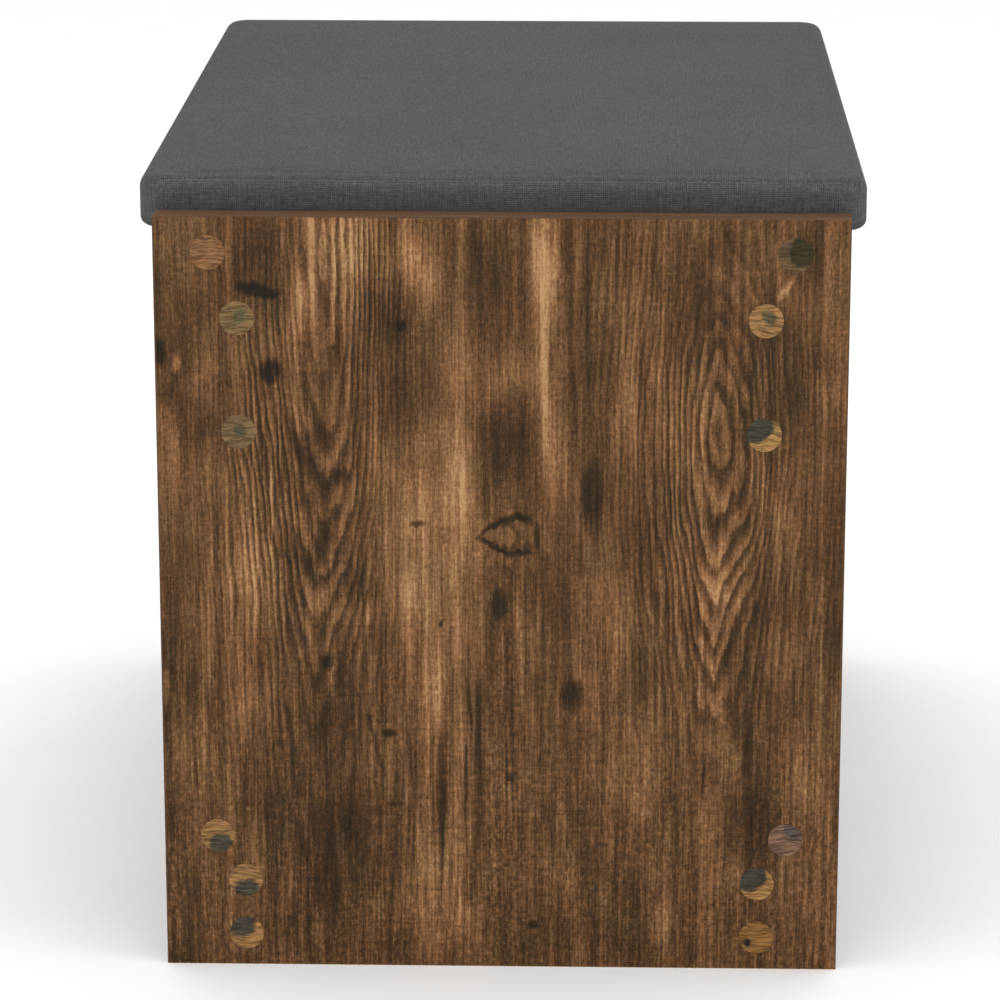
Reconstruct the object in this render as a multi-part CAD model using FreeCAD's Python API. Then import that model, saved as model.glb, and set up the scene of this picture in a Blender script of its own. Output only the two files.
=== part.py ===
import FreeCAD
import Part
import math
import os

# Storage bench: a flat-pack carcass of melamine-faced chipboard with a hinged, upholstered seat.
#
# Two side panels carry a bottom board on two plinths, and under the seat two aprons with a
# stretcher over each. Between the aprons a thin floor makes a shallow tray that the seat closes.
# The bay between the bottom board and the aprons is open from front to back.
# The seat is a board with foam under a fabric cover. It turns on two butt hinges on the rear
# stretcher, and a riveted two-arm stay at each end follows it. With the seat fully open, each
# stay's lower arm stands upright against a stop tab.
#
# Millimetres. X runs along the bench, -Y is the front, +Z is up. The origin is on the floor,
# at the middle of the bench. "Right" is +X.

V = FreeCAD.Vector
past = 1.0                      # how far a cutter runs past the face that it opens

# ---- driving dimensions ------------------------------------------------------------------
bench_length = 600.0
panel_depth = 380.0
panel_height = 434.0
board = 15.0                    # chipboard thickness
edging = 0.8                    # thickness of the plastic edge strips
edging_round = 0.5              # rounding of their outer corners

seat_rim = 13.0                 # side panel above the stretchers
stretcher_width = 60.0
apron_height = 122.0
plinth_height = 70.0
board_recess = 38.0             # aprons and plinths behind the panels' front and back edges
tray_floor = 3.0
tray_floor_rise = 12.0          # its underside above the aprons' lower edges
groove_depth = 5.0
groove_clearance = 0.15

# Confirmat screws, their holes and the round stickers over their heads.
screw_length = 50.0
screw_head_radius = 4.9
screw_neck_radius = 3.5
screw_shank_radius = 3.1
screw_tip_radius = 1.4
screw_tip = 4.0                 # length of the pointed end
screw_head = 1.2                # straight part of the head
screw_head_end = 3.6            # its cone runs down to here
screw_sink = 0.4                # head below the panel's outer face
hex_socket_radius = 2.3
hex_socket_depth = 3.0
hole_clearance = 0.08
flat_board_screw_inset = 30.0   # from the panel's front and back edges
apron_screw_margin = 29.0       # from the apron's upper and lower edges
plinth_screw_spacing = 32.0
sticker_radius = 9.6
sticker = 0.3

dowel_radius = 4.0
dowel_length = 30.0
dowel_in_panel = 10.0
dowel_chamfer = 1.0
dowel_hole_spare = 1.0          # hole past the dowel's end
dowel_step = 20.0               # stretcher: dowel from the screw
bottom_dowel_step = 64.0        # bottom board: dowel from the screw

# Seat: board, foam, cover, dust cover.
seat_overhang = 10.0            # past the panels' front and back edges
seat_thickness = 29.8
seat_end_gap = 2.7              # cover to side panel
seat_gap = 1.3                  # under the closed seat
seat_board = 12.0
cover = 1.2
core_clearance = 0.1            # board and foam inside the cover
seat_corner_radius = 16.0
seat_top_round = 8.0
seat_bottom_round = 5.0
hem_width = 55.0                # cover turned under the board
dust_cover = 0.3
dust_cover_inset = 38.0         # from the cover's outer faces
dust_cover_round = 6.0

staple_crown = 10.0
staple_leg = 8.0
staple_width = 1.2
staple_wire = 0.6
staple_inset = 7.0              # from the dust cover's edge
staple_pitch = 70.0

bumper_radius = 5.0
bumper_thickness = 1.0
bumper_inset = 12.0             # from the stretcher's front edge
bumper_spacing = 230.0

# Butt hinges.
hinge_spacing = 360.0
hinge_length = 60.0
hinge_leaf = 1.0
hinge_leaf_width = 24.0
hinge_barrel_radius = 2.6
hinge_pin_radius = 1.5
hinge_knuckles = 5
hinge_gap = 0.3                 # between parts that turn past each other
hinge_wall_gap = 0.4            # knuckles to the stretcher's rear edge
running_clearance = 0.08
pin_head_radius = 2.3
pin_head = 0.8
leaf_pocket_clearance = 0.2

# Wood screws for the hinges and the stays.
wood_screw_length = 12.0
wood_screw_head_radius = 3.0
wood_screw_head = 1.6
wood_screw_radius = 1.6
wood_screw_tip = 3.0
wood_screw_point = 0.2
cross_slot = (3.6, 0.8, 0.9)    # length, width, depth
leaf_screw_spacing = 22.0
leaf_screw_from_edge = 9.0      # hinge leaf's free edge to its outer screws
leaf_screw_stagger = 6.0        # its middle screw, from their line

# Folding stays. Each arm is as long as the distance from the hinge axis to the pivot on the wall
# and to the pivot on the seat, so those three and the elbow are always the corners of a rhombus.
stay_arm = 120.0
stay_seat_drop = 12.0           # seat pivot below the seat's underside
stay_strip = 2.0
stay_width = 14.0
stay_gap = 0.4                  # between neighbouring strips, and from arm to stop tab
stay_plate_height = 44.0
stay_plate_round = 5.0
stay_plate_rise = 7.0           # above the tray floor
stop_tab_low = 6.0              # above the wall pivot
stop_tab_high = 16.0
stay_plate_screw_spacing = 30.0
bracket_length = 32.0
bracket_flange = 22.0
bracket_round = 4.0
bracket_screw_spacing = 18.0
rivet_radius = 2.5
rivet_head_radius = 4.5
rivet_head = 1.0
rivet_head_bevel = 0.4
rivet_play = 0.3                # under the head over an arm that turns

# ---- derived places ----------------------------------------------------------------------
half_length = bench_length / 2
inner_half = half_length - board
half_depth = panel_depth / 2

stretcher_top = panel_height - seat_rim
stretcher_bottom = stretcher_top - board
apron_top = stretcher_bottom
apron_bottom = apron_top - apron_height
bottom_top = plinth_height + board
tray_bottom = apron_bottom + tray_floor_rise
tray_top = tray_bottom + tray_floor

recess_outer = half_depth - board_recess        # outer face of aprons and plinths
recess_inner = recess_outer - board             # inner face of aprons and plinths
recess_mid = (recess_outer + recess_inner) / 2
flat_screw_y = half_depth - flat_board_screw_inset
stretcher_inner = half_depth - stretcher_width

seat_bottom = stretcher_top + seat_gap
seat_top = seat_bottom + seat_thickness
seat_half_length = inner_half - seat_end_gap
seat_half_depth = half_depth + seat_overhang
seat_board_bottom = seat_bottom + cover
seat_board_top = seat_board_bottom + seat_board

hinge_y = half_depth + hinge_wall_gap + hinge_barrel_radius
fixed_leaf_top = stretcher_top
seat_leaf_bottom = seat_bottom - hinge_leaf
hinge_z = seat_bottom - hinge_gap - hinge_barrel_radius

stay_wall_z = tray_top + stay_plate_rise + stay_plate_height / 2
stay_wall_y = hinge_y - math.sqrt(stay_arm**2 - (hinge_z - stay_wall_z) ** 2)
stay_seat_z = seat_bottom - stay_seat_drop
stay_seat_y = hinge_y - math.sqrt(stay_arm**2 - (hinge_z - stay_seat_z) ** 2)
elbow_y = stay_wall_y + stay_seat_y - hinge_y
elbow_z = stay_wall_z + stay_seat_z - hinge_z
stop_tab_y = stay_wall_y + stay_width / 2 + stay_gap

# Stay strips, as distances inward from the side panel's inner face.
wall_plate_x = inner_half - stay_strip
lower_arm_x = wall_plate_x - stay_gap - stay_strip
upper_arm_x = lower_arm_x - stay_gap - stay_strip
bracket_x = upper_arm_x - stay_gap - stay_strip


# ---- shapes ------------------------------------------------------------------------------
def block(x0, x1, y0, y1, z0, z1):
    """A box between two corners."""
    return Part.makeBox(x1 - x0, y1 - y0, z1 - z0, V(x0, y0, z0))


def rod_x(x0, x1, y, z, radius):
    """A cylinder along X."""
    return Part.makeCylinder(radius, x1 - x0, V(x0, y, z), V(1, 0, 0))


def mirrored(shape):
    """The same shape on the other side of the bench's middle, left to right."""
    return shape.mirror(V(0, 0, 0), V(1, 0, 0))


def front_back(shape):
    """The same shape at the other edge, front to back."""
    return shape.mirror(V(0, 0, 0), V(0, 1, 0))


def edges_where(shape, test):
    """The edges of a shape whose every vertex passes the test."""
    return [e for e in shape.Edges if all(test(v.Point) for v in e.Vertexes)]


def rounded_edges(shape, test, radius):
    return shape.makeFillet(radius, edges_where(shape, test))


def upright_corners(shape, thickness):
    """A plate's corner edges, which are as long as the plate is thick."""
    return [e for e in shape.Edges if near(e.Length, thickness)]


def near(a, b):
    return abs(a - b) < 1e-6


def turned(points):
    """A solid of revolution about Z from (radius, z) points, closed along the axis."""
    outline = [V(0, 0, points[0][1])]
    outline += [V(r, 0, z) for r, z in points]
    outline += [V(0, 0, points[-1][1])]
    kept = [outline[0]]
    for point in outline[1:]:
        if point.distanceToPoint(kept[-1]) > 1e-9:
            kept.append(point)
    wire = Part.makePolygon(kept + [kept[0]])
    return Part.Face(wire).revolve(V(0, 0, 0), V(0, 0, 1), 360)


def aimed(shape, head, direction):
    """Moves a shape that points along -Z from the origin to a head point and a direction."""
    turn = FreeCAD.Rotation(V(0, 0, -1), direction)
    placed = shape.copy()
    placed.Placement = FreeCAD.Placement(head, turn)
    return placed


def wood_screw(clearance=0.0):
    """A countersunk wood screw, head at the origin, pointing along -Z. With clearance, its hole."""
    head = wood_screw_head_radius + clearance
    shank = wood_screw_radius + clearance
    tip = wood_screw_length - wood_screw_tip
    end = wood_screw_length + clearance
    body = turned([(head, 0), (shank, -wood_screw_head), (shank, -tip), (wood_screw_point, -end)])
    if clearance:
        return body
    long, wide, deep = cross_slot
    slot = block(-long / 2, long / 2, -wide / 2, wide / 2, -deep, 0)
    return body.cut(slot).cut(slot.rotated(V(0, 0, 0), V(0, 0, 1), 90))


def confirmat(clearance=0.0):
    """A confirmat screw, head at the origin, pointing along -Z. With clearance, its hole."""
    head = screw_head_radius + clearance
    neck = screw_neck_radius + clearance
    shank = screw_shank_radius + clearance
    neck_end = board - screw_sink
    outline = [(head, 0), (head, -screw_head), (neck, -screw_head_end), (neck, -neck_end)]
    outline += [(shank, -neck_end), (shank, -screw_length + screw_tip)]
    outline += [(screw_tip_radius, -screw_length - clearance)]
    body = turned(outline)
    if clearance:
        return body
    turns = [math.radians(60 * i) for i in range(7)]
    corners = [V(hex_socket_radius * math.cos(a), hex_socket_radius * math.sin(a), 0) for a in turns]
    socket = Part.Face(Part.makePolygon(corners))
    return body.cut(socket.extrude(V(0, 0, -hex_socket_depth)))


def rivet_x(x0, x1, y, z):
    """A rivet along X from x0 to x1, with a bevelled head inside each of those ends."""
    body = rod_x(x0, x1, y, z, rivet_radius)
    for start, face in ((x0, x0), (x1 - rivet_head, x1)):
        head = rod_x(start, start + rivet_head, y, z, rivet_head_radius)
        outer = edges_where(head, lambda p: near(p.x, face))
        body = body.fuse(head.makeChamfer(rivet_head_bevel, outer))
    return body.removeSplitter()


def stay_arm_between(x0, start, end, end_clearance):
    """A flat arm with round ends from one pivot (y, z) to another, with a rivet hole at each."""
    run_y, run_z = end[0] - start[0], end[1] - start[1]
    half = stay_width / 2
    x1 = x0 + stay_strip
    arm = block(x0, x1, 0, stay_arm, -half, half)
    for pivot in (0, stay_arm):
        arm = arm.fuse(rod_x(x0, x1, pivot, 0, half))
    arm = arm.removeSplitter()
    arm = arm.cut(rod_x(x0, x1, 0, 0, rivet_radius + running_clearance))
    arm = arm.cut(rod_x(x0, x1, stay_arm, 0, rivet_radius + end_clearance))
    arm.rotate(V(0, 0, 0), V(1, 0, 0), math.degrees(math.atan2(run_z, run_y)))
    arm.translate(V(0, start[0], start[1]))
    return arm


# ---- fastener places on the right-hand end, as (y, z) ------------------------------------
stretcher_mid = (stretcher_top + stretcher_bottom) / 2
bottom_mid = plinth_height + board / 2
apron_screws = [apron_bottom + apron_screw_margin, apron_top - apron_screw_margin]
plinth_screws = [(plinth_height + k * plinth_screw_spacing) / 2 for k in (-1, 1)]
screw_places = []
dowel_places = []
for side in (-1, 1):
    screw_places += [(side * flat_screw_y, stretcher_mid), (side * flat_screw_y, bottom_mid)]
    screw_places += [(side * recess_mid, z) for z in apron_screws + plinth_screws]
    dowel_places += [(side * (flat_screw_y - dowel_step), stretcher_mid)]
    dowel_places += [(side * (flat_screw_y - bottom_dowel_step), bottom_mid)]
    dowel_places += [(side * recess_mid, sum(apron_screws) / 2)]

screw_head_x = half_length - screw_sink
dowel_start = inner_half + dowel_in_panel


def end_fastener_holes():
    """Holes for the screws and dowels of the right-hand end, to cut from panels and boards."""
    holes = []
    for y, z in screw_places:
        holes.append(aimed(confirmat(hole_clearance), V(screw_head_x, y, z), V(-1, 0, 0)))
        holes.append(rod_x(screw_head_x, half_length, y, z, screw_head_radius + hole_clearance))
    far_end = dowel_start - dowel_length - dowel_hole_spare
    for y, z in dowel_places:
        holes.append(rod_x(far_end, dowel_start, y, z, dowel_radius + hole_clearance))
    return holes


def drilled(shape):
    """A panel or board with the holes of both ends, where they meet it."""
    box = shape.BoundBox
    for hole in end_fastener_holes():
        for cutter in (hole, mirrored(hole)):
            if box.intersect(cutter.BoundBox):
                shape = shape.cut(cutter)
    return shape


# ---- carcass -----------------------------------------------------------------------------
def make_side_panel():
    reach = half_depth - edging
    core = block(inner_half, half_length, -reach, reach, 0, panel_height - edging)
    for plate_screw in stay_wall_screw_places():
        core = core.cut(aimed(wood_screw(hole_clearance), plate_screw, V(1, 0, 0)))
    return drilled(core)


def make_panel_edging():
    """Three strips glued to the side panel's front, rear and top edges."""
    under_top = panel_height - edging
    rear = block(inner_half, half_length, half_depth - edging, half_depth, 0, under_top)
    rear = rounded_edges(rear, lambda p: near(p.y, half_depth), edging_round)
    top = block(inner_half, half_length, -half_depth, half_depth, under_top, panel_height)
    top = rounded_edges(top, lambda p: near(p.z, panel_height), edging_round)
    return [front_back(rear), rear, top]


def make_long_strip(y, outward, z0, z1):
    """An edge strip along the bench, on the face at y, standing out of the core by its thickness."""
    low, high = sorted((y, y + outward * edging))
    strip = block(-inner_half, inner_half, low, high, z0, z1)
    return rounded_edges(strip, lambda p: near(p.y, y + outward * edging), edging_round)


def make_bottom_board():
    reach = half_depth - edging
    return drilled(block(-inner_half, inner_half, -reach, reach, plinth_height, bottom_top))


def make_bottom_edging():
    rear = make_long_strip(half_depth - edging, 1, plinth_height, bottom_top)
    return [front_back(rear), rear]


def make_plain_stretcher():
    """The rear stretcher before the hinges are let in, and the front one's mirror image."""
    low, high = stretcher_inner + edging, half_depth - edging
    return drilled(block(-inner_half, inner_half, low, high, stretcher_bottom, stretcher_top))


def leaf_pockets():
    """Shallow pockets in the rear stretcher's top, for the fixed leaves."""
    reach = hinge_length / 2 + leaf_pocket_clearance
    start = half_depth - hinge_leaf_width - leaf_pocket_clearance
    floor = fixed_leaf_top - hinge_leaf
    pocket = block(-reach, reach, start, half_depth + past, floor, fixed_leaf_top + past)
    return [pocket.translated(V(side * hinge_spacing / 2, 0, 0)) for side in (-1, 1)]


def make_rear_stretcher():
    stretcher = make_plain_stretcher()
    heads = leaf_screw_heads(fixed_leaf_top)
    screw_holes = [aimed(wood_screw(hole_clearance), head, V(0, 0, -1)) for head in heads]
    for cutter in leaf_pockets() + at_hinges(screw_holes):
        stretcher = stretcher.cut(cutter)
    return stretcher


def make_stretcher_edging():
    outer = make_long_strip(half_depth - edging, 1, stretcher_bottom, stretcher_top)
    inner = make_long_strip(stretcher_inner + edging, -1, stretcher_bottom, stretcher_top)
    front = [front_back(outer), front_back(inner)]
    for pocket in leaf_pockets():
        outer = outer.cut(pocket)
    return front + [outer, inner]


def make_rear_apron():
    low_edge = apron_bottom + edging
    plain = block(-inner_half, inner_half, recess_inner, recess_outer, low_edge, apron_top)
    low = tray_bottom - groove_clearance
    high = tray_top + groove_clearance
    groove = block(-inner_half, inner_half, recess_inner, recess_inner + groove_depth, low, high)
    return drilled(plain.cut(groove))


def make_apron_edging():
    """A strip along each apron's lower edge."""
    strip = block(-inner_half, inner_half, recess_inner, recess_outer, apron_bottom, apron_bottom + edging)
    strip = rounded_edges(strip, lambda p: near(p.z, apron_bottom), edging_round)
    return [front_back(strip), strip]


def make_rear_plinth():
    return drilled(block(-inner_half, inner_half, recess_inner, recess_outer, 0, plinth_height))


def make_tray_floor():
    reach = recess_inner + groove_depth - 2 * groove_clearance
    end = inner_half - 2 * groove_clearance
    return block(-end, end, -reach, reach, tray_bottom, tray_top)


def make_end_screws():
    return [aimed(confirmat(), V(screw_head_x, y, z), V(-1, 0, 0)) for y, z in screw_places]


def make_end_stickers():
    return [rod_x(half_length, half_length + sticker, y, z, sticker_radius) for y, z in screw_places]


def make_end_dowels():
    """Beech dowels with chamfered ends, half in the panel and half in the board."""
    dowels = []
    for y, z in dowel_places:
        dowel = rod_x(dowel_start - dowel_length, dowel_start, y, z, dowel_radius)
        rims = [e for e in dowel.Edges if len(e.Vertexes) == 1]
        dowels.append(dowel.makeChamfer(dowel_chamfer, rims))
    return dowels


def make_bumpers():
    """Thin rubber dots on the front stretcher, which the closed seat rests on."""
    y = -half_depth + bumper_inset
    places = [V(k * bumper_spacing, y, stretcher_top) for k in (-1, 0, 1)]
    return [Part.makeCylinder(bumper_radius, bumper_thickness, p) for p in places]


# ---- seat --------------------------------------------------------------------------------
def seat_form(inset):
    """The seat's outer form, taken in by inset on every side."""
    x = seat_half_length - inset
    y = seat_half_depth - inset
    low, high = seat_bottom + inset, seat_top - inset
    form = block(-x, x, -y, y, low, high)
    form = form.makeFillet(seat_corner_radius - inset, upright_corners(form, high - low))
    form = rounded_edges(form, lambda p: near(p.z, high), seat_top_round - inset)
    return rounded_edges(form, lambda p: near(p.z, low), seat_bottom_round - inset)


def make_seat_cover():
    """The fabric cover: a skin round board and foam, turned under by the hem's width."""
    x = seat_half_length - hem_width
    y = seat_half_depth - hem_width
    opening = block(-x, x, -y, y, seat_bottom - past, seat_board_bottom + past)
    skin = seat_form(0).cut(seat_form(cover)).cut(opening)
    for screw, way in seat_screw_places():
        skin = skin.cut(aimed(wood_screw(hole_clearance), screw, way))
    return skin


def make_seat_core():
    """Board and foam, which together fill the cover."""
    inset = cover + core_clearance
    form = seat_form(inset)
    lower = block(-bench_length, bench_length, -bench_length, bench_length, seat_bottom, seat_board_top)
    wooden = form.common(lower)
    foam = form.cut(lower)
    for screw, way in seat_screw_places():
        wooden = wooden.cut(aimed(wood_screw(hole_clearance), screw, way))
    return wooden, foam


def make_dust_cover():
    x = seat_half_length - dust_cover_inset
    y = seat_half_depth - dust_cover_inset
    sheet = block(-x, x, -y, y, seat_bottom - dust_cover, seat_bottom)
    return sheet.makeFillet(dust_cover_round, upright_corners(sheet, dust_cover))


def staple(x, y, along_x):
    """One driven staple: a crown on the dust cover and two legs up into the board."""
    half, w = staple_crown / 2, staple_width / 2
    z = seat_bottom - dust_cover
    form = block(-half, half, -w, w, z - staple_wire, z)
    for side in (-1, 1):
        inner, outer = sorted((side * half, side * (half - staple_wire)))
        form = form.fuse(block(inner, outer, -w, w, z - staple_wire, z + staple_leg))
    form = form.removeSplitter()
    if not along_x:
        form.rotate(V(0, 0, 0), V(0, 0, 1), 90)
    form.translate(V(x, y, 0))
    return form


def evenly(reach):
    """Places from -reach to reach, about one staple pitch apart."""
    count = max(2, round(2 * reach / staple_pitch))
    return [-reach + 2 * reach * k / count for k in range(count + 1)]


def make_staples():
    x = seat_half_length - dust_cover_inset - staple_inset
    y = seat_half_depth - dust_cover_inset - staple_inset
    corner = 2 * staple_crown
    rows = [staple(p, side * y, True) for side in (-1, 1) for p in evenly(x - corner)]
    rows += [staple(side * x, p, False) for side in (-1, 1) for p in evenly(y - corner)]
    return rows


# ---- hinges ------------------------------------------------------------------------------
def knuckle_spans():
    """The knuckles' (start, end) along X, about the hinge's middle."""
    length = (hinge_length - (hinge_knuckles - 1) * hinge_gap) / hinge_knuckles
    starts = [k * (length + hinge_gap) - hinge_length / 2 for k in range(hinge_knuckles)]
    return [(start, start + length) for start in starts]


def leaf_screw_heads(z):
    """Three countersunk screws in a triangle on a leaf, about the hinge's middle."""
    edge = half_depth - hinge_leaf_width
    row = [V(k * leaf_screw_spacing, edge + leaf_screw_from_edge, z) for k in (-1, 1)]
    return row + [V(0, edge + leaf_screw_from_edge + leaf_screw_stagger, z)]


def make_leaf(low, knuckles, screw_z, screw_way):
    """One leaf: a plate from z=low up, with knuckles curled round the hinge axis."""
    start = half_depth - hinge_leaf_width
    clear = hinge_barrel_radius + hinge_gap
    half = hinge_length / 2
    high = low + hinge_leaf
    leaf = block(-half, half, start, hinge_y - clear, low, high)
    for x0, x1 in knuckles:
        leaf = leaf.fuse(block(x0, x1, start, hinge_y, low, high))
        leaf = leaf.fuse(rod_x(x0, x1, hinge_y, hinge_z, hinge_barrel_radius))
    leaf = leaf.removeSplitter()
    leaf = leaf.cut(rod_x(-half, half, hinge_y, hinge_z, hinge_pin_radius + running_clearance))
    for head in leaf_screw_heads(screw_z):
        leaf = leaf.cut(aimed(wood_screw(hole_clearance), head, screw_way))
    return leaf


def make_fixed_leaf():
    return make_leaf(fixed_leaf_top - hinge_leaf, knuckle_spans()[0::2], fixed_leaf_top, V(0, 0, -1))


def make_seat_leaf():
    return make_leaf(seat_leaf_bottom, knuckle_spans()[1::2], seat_leaf_bottom, V(0, 0, 1))


def make_hinge_pin():
    """A headed pin through all the knuckles."""
    half = hinge_length / 2
    pin = rod_x(-half, half, hinge_y, hinge_z, hinge_pin_radius)
    for x0, x1 in ((-half - pin_head, -half), (half, half + pin_head)):
        pin = pin.fuse(rod_x(x0, x1, hinge_y, hinge_z, pin_head_radius))
    return pin.removeSplitter()


def at_hinges(shapes):
    """A list of shapes about the middle, repeated at the left and then the right hinge."""
    return [s.translated(V(side * hinge_spacing / 2, 0, 0)) for side in (-1, 1) for s in shapes]


# ---- stays, on the right-hand end --------------------------------------------------------
def stay_wall_screw_places():
    """Heads of the wall plate's two screws, which point outward along X."""
    offsets = [k * stay_plate_screw_spacing / 2 for k in (-1, 1)]
    return [V(wall_plate_x, stay_wall_y, stay_wall_z + k) for k in offsets]


def bracket_screw_places():
    """Heads of the seat bracket's two screws, which point up."""
    x = bracket_x + stay_strip - bracket_flange / 2
    offsets = [k * bracket_screw_spacing / 2 for k in (-1, 1)]
    return [V(x, stay_seat_y + k, seat_bottom - stay_strip) for k in offsets]


def seat_screw_places():
    """Every screw that goes up into the seat board, as (head, direction)."""
    up = V(0, 0, 1)
    places = []
    for side in (-1, 1):
        for head in leaf_screw_heads(seat_leaf_bottom):
            places.append((head + V(side * hinge_spacing / 2, 0, 0), up))
        for head in bracket_screw_places():
            places.append((V(side * head.x, head.y, head.z), up))
    return places


def make_wall_plate():
    """The stay's plate on the side panel, with a tab bent in behind the lower arm as its stop."""
    y, z = stay_wall_y, stay_wall_z
    tab_end = stop_tab_y + stay_strip
    half_height = stay_plate_height / 2
    plate = block(wall_plate_x, inner_half, 2 * y - tab_end, tab_end, z - half_height, z + half_height)
    plate = plate.makeFillet(stay_plate_round, upright_corners(plate, stay_strip))
    tab_low, tab_high = z + stop_tab_low, z + stop_tab_high
    plate = plate.fuse(block(lower_arm_x, wall_plate_x, stop_tab_y, tab_end, tab_low, tab_high))
    plate = plate.cut(rod_x(wall_plate_x, inner_half, y, z, rivet_radius))
    for head in stay_wall_screw_places():
        plate = plate.cut(aimed(wood_screw(hole_clearance), head, V(1, 0, 0)))
    return plate.removeSplitter()


def make_seat_bracket():
    """An angle bracket: a tab down to the seat pivot and a flange under the seat."""
    x0, x1 = bracket_x, bracket_x + stay_strip
    y, z = stay_seat_y, stay_seat_z
    half = stay_width / 2
    tab = block(x0, x1, y - half, y + half, z, seat_bottom).fuse(rod_x(x0, x1, y, z, half))
    low = seat_bottom - stay_strip
    half_length_y = bracket_length / 2
    flange = block(x1 - bracket_flange, x1, y - half_length_y, y + half_length_y, low, seat_bottom)
    flange = flange.makeFillet(bracket_round, upright_corners(flange, stay_strip))
    bracket = tab.fuse(flange).removeSplitter()
    bracket = bracket.cut(rod_x(x0, x1, y, z, rivet_radius))
    for head in bracket_screw_places():
        bracket = bracket.cut(aimed(wood_screw(hole_clearance), head, V(0, 0, 1)))
    return bracket


def make_lower_arm():
    return stay_arm_between(lower_arm_x, (stay_wall_y, stay_wall_z), (elbow_y, elbow_z), 0)


def make_upper_arm():
    seat_pivot = (stay_seat_y, stay_seat_z)
    return stay_arm_between(upper_arm_x, seat_pivot, (elbow_y, elbow_z), running_clearance)


def make_wall_rivet():
    """Fixed in the wall plate, flush with its back. The lower arm turns on it."""
    head = rod_x(lower_arm_x - rivet_play - rivet_head, lower_arm_x - rivet_play, stay_wall_y, stay_wall_z,
                 rivet_head_radius)
    outer = edges_where(head, lambda p: near(p.x, lower_arm_x - rivet_play - rivet_head))
    head = head.makeChamfer(rivet_head_bevel, outer)
    shank = rod_x(lower_arm_x - rivet_play, inner_half, stay_wall_y, stay_wall_z, rivet_radius)
    return head.fuse(shank).removeSplitter()


def make_elbow_rivet():
    """Fixed in the lower arm. The upper arm turns on it."""
    inner = upper_arm_x - rivet_play - rivet_head
    return rivet_x(inner, lower_arm_x + stay_strip + rivet_head, elbow_y, elbow_z)


def make_seat_rivet():
    """Fixed in the seat bracket. The upper arm turns on it."""
    outer = upper_arm_x + stay_strip + rivet_play + rivet_head
    return rivet_x(bracket_x - rivet_head, outer, stay_seat_y, stay_seat_z)


# ---- nodes -------------------------------------------------------------------------------
def both_ends(name, shapes):
    """Right-hand shapes as right_NAME, and their mirror images as left_NAME."""
    return {"right_" + name: shapes, "left_" + name: [mirrored(s) for s in shapes]}


def screws_at(heads, direction):
    return [aimed(wood_screw(), head, direction) for head in heads]


def build():
    rear_apron = make_rear_apron()
    rear_plinth = make_rear_plinth()
    wooden, foam = make_seat_core()
    left_fixed, right_fixed = at_hinges([make_fixed_leaf()])
    left_seat_leaf, right_seat_leaf = at_hinges([make_seat_leaf()])
    left_pin, right_pin = at_hinges([make_hinge_pin()])
    up, down = V(0, 0, 1), V(0, 0, -1)
    nodes = {
        "bottom_board": [make_bottom_board()],
        "bottom_board_edging": make_bottom_edging(),
        "front_stretcher": [front_back(make_plain_stretcher())],
        "rear_stretcher": [make_rear_stretcher()],
        "stretcher_edging": make_stretcher_edging(),
        "front_apron": [front_back(rear_apron)],
        "rear_apron": [rear_apron],
        "apron_edging": make_apron_edging(),
        "front_plinth": [front_back(rear_plinth)],
        "rear_plinth": [rear_plinth],
        "tray_floor": [make_tray_floor()],
        "seat_bumpers": make_bumpers(),
        "seat_board": [wooden],
        "seat_foam": [foam],
        "seat_cover": [make_seat_cover()],
        "dust_cover": [make_dust_cover()],
        "cover_staples": make_staples(),
        "left_hinge_fixed_leaf": [left_fixed],
        "right_hinge_fixed_leaf": [right_fixed],
        "left_hinge_seat_leaf": [left_seat_leaf],
        "right_hinge_seat_leaf": [right_seat_leaf],
        "left_hinge_pin": [left_pin],
        "right_hinge_pin": [right_pin],
        "hinge_stretcher_screws": at_hinges(screws_at(leaf_screw_heads(fixed_leaf_top), down)),
        "hinge_seat_screws": at_hinges(screws_at(leaf_screw_heads(seat_leaf_bottom), up)),
    }
    nodes.update(both_ends("side_panel", [make_side_panel()]))
    nodes.update(both_ends("panel_edging", make_panel_edging()))
    nodes.update(both_ends("carcass_screws", make_end_screws()))
    nodes.update(both_ends("screw_stickers", make_end_stickers()))
    nodes.update(both_ends("dowels", make_end_dowels()))
    nodes.update(both_ends("stay_wall_plate", [make_wall_plate()]))
    nodes.update(both_ends("stay_wall_screws", screws_at(stay_wall_screw_places(), V(1, 0, 0))))
    nodes.update(both_ends("stay_wall_rivet", [make_wall_rivet()]))
    nodes.update(both_ends("stay_lower_arm", [make_lower_arm()]))
    nodes.update(both_ends("stay_elbow_rivet", [make_elbow_rivet()]))
    nodes.update(both_ends("stay_upper_arm", [make_upper_arm()]))
    nodes.update(both_ends("stay_seat_rivet", [make_seat_rivet()]))
    nodes.update(both_ends("stay_seat_bracket", [make_seat_bracket()]))
    nodes.update(both_ends("stay_seat_screws", screws_at(bracket_screw_places(), up)))
    return nodes


def main():
    os.makedirs("parts", exist_ok=True)
    for name, shapes in build().items():
        shape = shapes[0] if len(shapes) == 1 else Part.makeCompound(shapes)
        shape.exportStep(os.path.join("parts", name + ".step"))


main()
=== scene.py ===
import math

import bmesh
import bpy
import numpy as np
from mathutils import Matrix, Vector, noise
from mathutils.bvhtree import BVHTree


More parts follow.
